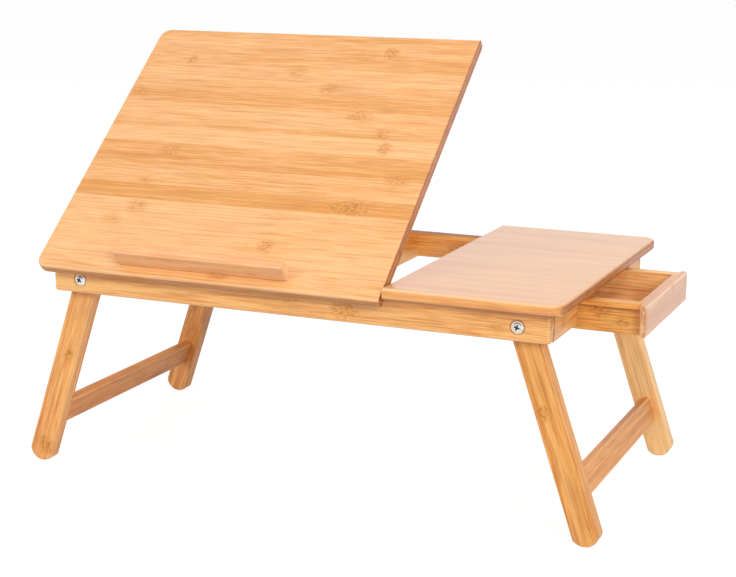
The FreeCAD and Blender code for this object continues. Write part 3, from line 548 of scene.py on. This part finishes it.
def turned(name, profile):
    """A closed part turned about Z, from (radius, height) in millimetres, first and last on the axis."""
    shape = bmesh.new()
    rings = []
    for radius, height in profile:
        if radius == 0:
            rings.append([shape.verts.new((0, 0, height))] * TURNED_SIDES)
            continue
        angles = [2 * math.pi * k / TURNED_SIDES for k in range(TURNED_SIDES)]
        rings.append([shape.verts.new((radius * math.cos(angle), radius * math.sin(angle), height))
                      for angle in angles])
    for low, high in zip(rings, rings[1:]):
        for k in range(TURNED_SIDES):
            shape.faces.new(dict.fromkeys((low[k - 1], low[k], high[k], high[k - 1])))
    return as_mesh(name, shape)


def as_mesh(name, shape):
    """The mesh of a finished shape, with its faces pointing outwards."""
    bmesh.ops.recalc_face_normals(shape, faces=shape.faces)
    mesh = bpy.data.meshes.new(name)
    shape.to_mesh(mesh)
    shape.free()
    return mesh


def threaded(radius, start, end, depth, tip):
    """Profile of a thread from one height down to another, where tip is left for the chamfer."""
    turns = max(1, int((start - end - tip) / THREAD_PITCH))
    step = (start - end - tip) / turns
    profile = []
    for n in range(turns):
        profile += [(radius - depth, start - n * step), (radius, start - (n + 0.5) * step)]
    return profile + [(radius - depth, end + tip)]


def crossed(name, low, high):
    """Two tapered blocks crossed about Z, between rectangles given as half length, half width, height."""
    shape = bmesh.new()
    for way in (0, QUARTER_TURN):
        spin = Matrix.Rotation(way, 3, "Z")
        rows = [[shape.verts.new(spin @ Vector((x * far, y * wide, height)))
                 for x, y in ((-1, -1), (1, -1), (1, 1), (-1, 1))] for far, wide, height in (low, high)]
        shape.faces.new(rows[0])
        shape.faces.new(rows[1])
        for k in range(4):
            shape.faces.new((rows[0][k - 1], rows[0][k], rows[1][k], rows[1][k - 1]))
    return as_mesh(name, shape)


def carved(mesh, tool, operation):
    """A mesh cut by another, or kept only inside it.  The faces that the tool leaves are marked as cut."""
    for part, mark in ((mesh, False), (tool, True)):
        marks = part.attributes.new("cut", "BOOLEAN", "FACE")
        marks.data.foreach_set("value", [mark] * len(part.polygons))
    body, cutter = (bpy.data.objects.new(part.name, part) for part in (mesh, tool))
    for thing in (body, cutter):
        scene.collection.objects.link(thing)
    cut = body.modifiers.new("cut", "BOOLEAN")
    cut.operation = operation
    cut.object = cutter
    cut.solver = "EXACT"
    cut.use_self = True
    result = bpy.data.meshes.new_from_object(body.evaluated_get(bpy.context.evaluated_depsgraph_get()))
    for thing in (body, cutter):
        bpy.data.objects.remove(thing)
    return result


def fasteners(name):
    """A node's screws or bolts, as (outer end of the head, way to the point, length, head's radius)."""
    shape = bmesh.new()
    shape.from_mesh(nodes[name].data)
    bmesh.ops.remove_doubles(shape, verts=shape.verts, dist=1e-6)
    unseen, found = set(shape.verts), []
    while unseen:
        # the vertices of one screw, each joined to the last by an edge
        waiting, points = [unseen.pop()], []
        while waiting:
            vertex = waiting.pop()
            points.append(tuple(vertex.co))
            joined = {edge.other_vert(vertex) for edge in vertex.link_edges} & unseen
            unseen -= joined
            waiting += joined
        points = np.array(points)
        middle = (points.min(0) + points.max(0)) / 2
        # it is longer than it is wide, and its head is at its wider end
        way = np.linalg.svd(points - points.mean(0), full_matrices=False)[2][0].round(2)
        way /= np.linalg.norm(way)
        run = (points - middle) @ way
        spread = np.linalg.norm(points - middle - np.outer(run, way), axis=1)
        rim = 0.0012        # the head's rim lies within this of its outer end
        if spread[run < run.min() + rim].max() < spread[run > run.max() - rim].max():
            way, run = -way, -run
        head = Vector(middle + way * run.min())
        found.append((head, Vector(way), float(np.ptp(run)), float(spread.max())))
    shape.free()
    return sorted(found, key=lambda spot: tuple(round(value, 3) for value in spot[0]))


def set_out(name, pattern, spots, finish, recess, spin, seed):
    """One mesh of copies of a pattern in millimetres.

    Each spot is a place and the way that the copy's Z points.  Each copy is turned about its Z by chance, by
    up to spin radians.  Faces marked as cut take the recess finish.
    """
    pattern.transform(Matrix.Scale(0.001, 4))
    points = bpy.data.meshes.new(name)
    points.from_pydata([place for place, way in spots], [], [])
    ways = points.attributes.new("way", "FLOAT_VECTOR", "POINT")
    ways.data.foreach_set("vector", [value for place, way in spots for value in way])
    model = bpy.data.objects.new(name + " pattern", pattern)
    scene.collection.objects.link(model)

    tree = bpy.data.node_groups.new("set out " + name, "GeometryNodeTree")
    tree.interface.new_socket("Geometry", in_out="INPUT", socket_type="NodeSocketGeometry")
    tree.interface.new_socket("Geometry", in_out="OUTPUT", socket_type="NodeSocketGeometry")
    named = {"Pattern": ("Object", model), "Largest spin": ("Float", spin), "Seed": ("Int", seed),
             "Finish": ("Material", finish), "Recess finish": ("Material", recess)}
    keys = {key: tree.interface.new_socket(key, in_out="INPUT", socket_type="NodeSocket" + kind).identifier
            for key, (kind, value) in named.items()}

    def add(kind, sockets=(), output=0, **settings):
        made = tree.nodes.new(kind)
        for key, value in settings.items():
            setattr(made, key, value)
        for key, value in dict(sockets).items():
            if isinstance(value, bpy.types.NodeSocket):
                tree.links.new(value, made.inputs[key])
            else:
                made.inputs[key].default_value = value
        return made.outputs[output] if made.outputs else None

    given = tree.nodes.new("NodeGroupInput").outputs
    way = add("GeometryNodeInputNamedAttribute", {"Name": "way"}, data_type="FLOAT_VECTOR")
    aligned = add("FunctionNodeAlignRotationToVector", {"Vector": way}, axis="Z")
    chance = add("FunctionNodeRandomValue", {3: given["Largest spin"], "Seed": given["Seed"]}, 1)
    about = add("FunctionNodeEulerToRotation", {0: add("ShaderNodeCombineXYZ", {2: chance})})
    spun = add("FunctionNodeRotateRotation", {0: aligned, 1: about}, rotation_space="LOCAL")
    copied = add("GeometryNodeObjectInfo", {"Object": given["Pattern"]}, "Geometry")
    placed = add("GeometryNodeInstanceOnPoints", {"Points": given["Geometry"], "Instance": copied,
                                                  "Rotation": spun})
    real = add("GeometryNodeRealizeInstances", {0: placed})
    coated = add("GeometryNodeSetMaterial", {"Geometry": real, "Material": given["Finish"]})
    inside = add("GeometryNodeInputNamedAttribute", {"Name": "cut"}, data_type="BOOLEAN")
    done = add("GeometryNodeSetMaterial", {"Geometry": coated, "Selection": inside,
                                           "Material": given["Recess finish"]})
    add("NodeGroupOutput", {0: done})

    piece = bpy.data.objects.new(name, points)
    scene.collection.objects.link(piece)
    layout = piece.modifiers.new("set out", "NODES")
    layout.node_group = tree
    for key, (kind, value) in named.items():
        layout[keys[key]] = value
    mesh = bpy.data.meshes.new_from_object(piece.evaluated_get(bpy.context.evaluated_depsgraph_get()))
    piece.modifiers.clear()
    piece.data = mesh
    mesh.shade_smooth()
    mesh.set_sharp_from_angle(angle=CRISP_EDGE)
    bpy.data.objects.remove(model)
    return piece


zinc = metal("bright zinc", (238, 236, 230), 0.20)
# the darker blue-grey in the bolts' cross recesses is painted shade and a painted dark reflection
zinc_recess_painted_shade = metal("zinc recess", (92, 104, 136), 0.34)
# radius and height: a domed middle, a fine groove, a rounded flange, and its seat in to the shank
BOLT_HEAD = [(0, 3.2), (1.8, 3.05), (2.8, 2.74), (3.5, 2.32), (3.95, 1.80), (4.15, 1.52), (4.4, 1.42),
             (4.65, 1.52), (5.1, 1.40), (5.45, 1.12), (5.68, 0.72), (5.75, 0.35), (5.75, 0.0), (3.0, 0.0)]
head_height, shank_radius = BOLT_HEAD[0][1], BOLT_HEAD[-1][0]
thread_length, thread_depth, bolt_chamfer = 14.0, 0.14, 0.5
bolts = fasteners("leg_bolts")
bolt_end = head_height - bolts[0][2] * 1000
thread = threaded(shank_radius, bolt_end + thread_length, bolt_end, thread_depth, bolt_chamfer)
bolt = turned("bolt", BOLT_HEAD + thread + [(shank_radius * 0.7, bolt_end), (0, bolt_end)])
cross = crossed("cross", (1.3, 0.5, 1.4), (2.9, 0.85, 3.6))
piece = set_out("leg_bolts_cross_head", carved(bolt, cross, "DIFFERENCE"),
                [(place + way * head_height / 1000, -way) for place, way, length, radius in bolts],
                zinc, zinc_recess_painted_shade, spin=1.5, seed=4)
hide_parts("leg_bolts")
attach(piece, "frame")

# A chamfered disc, cut to a hexagon.
NUT_RADIUS, NUT_HEIGHT, NUT_CHAMFER = 5.77, 5.0, 0.45
flat_radius, disc_radius = NUT_RADIUS - 0.7, NUT_RADIUS + 0.1
nut_low, nut_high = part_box("leg_nuts")
blank = turned("nut", [(0, 0), (flat_radius, 0), (disc_radius, NUT_CHAMFER),
                       (disc_radius, NUT_HEIGHT - NUT_CHAMFER), (flat_radius, NUT_HEIGHT),
                       (0, NUT_HEIGHT)])
hexagon = bmesh.new()
bmesh.ops.create_cone(hexagon, cap_ends=True, segments=6, radius1=NUT_RADIUS, radius2=NUT_RADIUS,
                      depth=NUT_HEIGHT + 2.0, matrix=Matrix.Translation((0, 0, NUT_HEIGHT / 2)))
nut_spots = [(Vector((place.x, nut_high.y if place.y > 0 else nut_low.y, place.z)),
              Vector((0, -math.copysign(1, place.y), 0))) for place, way, length, radius in bolts]
piece = set_out("leg_nuts_chamfered", carved(blank, as_mesh("hexagon", hexagon), "INTERSECT"), nut_spots,
                zinc, zinc, spin=1.0, seed=5)
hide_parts("leg_nuts")
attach(piece, "frame")
washer_zinc = metal("washer zinc", (206, 208, 210), 0.26)
for name in ("leg_spacer_washers", "leg_nut_washers"):
    dress(name, washer_zinc)

# ---- wood screws and pins --------------------------------------------------------------------------------
# Countersunk steel screws with cross recesses: small ones in the hinges, larger ones in the racks, the
# runners and the prop's blocks.  Plain pins carry the prop's arms.
screw_steel = metal("screw steel", (190, 186, 176), 0.26)
# the dark grey in the screws' cross recesses is painted shade
screw_recess_painted_shade = metal("screw recess", (84, 82, 80), 0.40)
for seed, (name, body) in enumerate((("hinge_frame_screws", "frame"), ("hinge_top_screws", "tilting_top"),
                                     ("rack_screws", "frame"), ("runner_screws", "frame"),
                                     ("prop_block_screws", "tilting_top")), 11):
    screws = fasteners(name)
    head, length = screws[0][3] * 1000, screws[0][2] * 1000
    thread_radius, neck, point = head * 0.52, head * 0.55, head * 0.6
    profile = [(0, 0), (head * 0.93, 0), (head, -0.06), (head, -0.14), (thread_radius * 0.9, -neck)]
    profile += threaded(thread_radius, -neck - 0.6, point - length, head * 0.1, 0.1)
    profile += [(thread_radius * 0.4, 0.3 - length), (0, -length)]
    cross = crossed("cross", (head * 0.22, head * 0.07, -head * 0.4), (head * 0.62, head * 0.14, 0.3))
    piece = set_out(name + "_cross_head", carved(turned(name, profile), cross, "DIFFERENCE"),
                    [(place, -way) for place, way, long, radius in screws],
                    screw_steel, screw_recess_painted_shade, spin=1.5, seed=seed)
    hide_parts(name)
    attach(piece, body)
dress("prop_pins", screw_steel)

# ---- hinges ----------------------------------------------------------------------------------------------
# Two small brass butt hinges, their leaves rolled round a pin.  They are let into the front rail and the
# tilting top, and screwed.
brass = metal("hinge brass", (222, 178, 98), 0.22)
for name in ("hinge_left_frame_leaf", "hinge_right_frame_leaf", "hinge_left_top_leaf",
             "hinge_right_top_leaf", "hinge_pins"):
    dress(name, brass)
